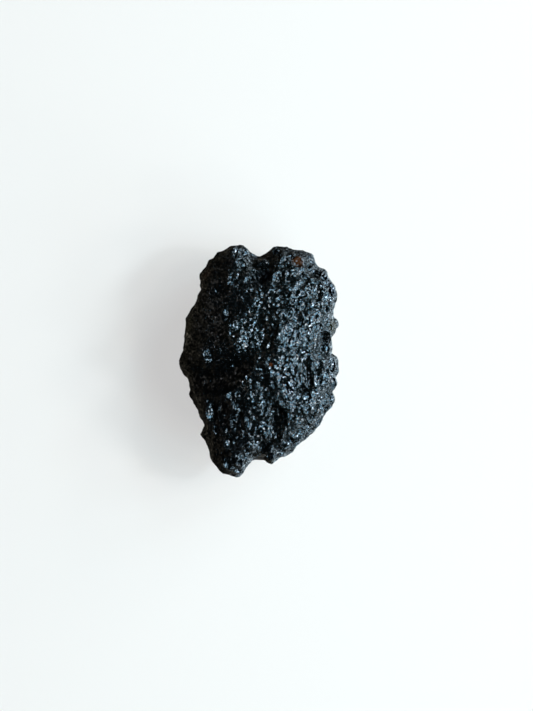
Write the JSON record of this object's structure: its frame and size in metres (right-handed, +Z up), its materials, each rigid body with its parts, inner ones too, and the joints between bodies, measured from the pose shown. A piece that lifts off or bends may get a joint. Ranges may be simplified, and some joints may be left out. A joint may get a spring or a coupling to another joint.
{
  "type": "tektite",
  "caption": "Lump of black natural impact glass, gouged and pitted all over, with a notch at one end, that lies on a worn flat underside.",
  "frame": {"origin": "centre of the bounding box in plan, at the level that the stone rests on", "axes": "+Y along the stone's length, towards the end with the deep saddle; +X across it, towards the evenly pitted dome; +Z up out of the broad face"},
  "size_m": [0.0312, 0.045, 0.021],
  "materials": {
    "tektite_glass": "black natural glass, opaque at this thickness, etched in fine pits, with a worn gloss and a rusty soil stain in two pits"
  },
  "bodies": {
    "root": {"tektite": "tektite_glass"}
  },
  "joints": []
}
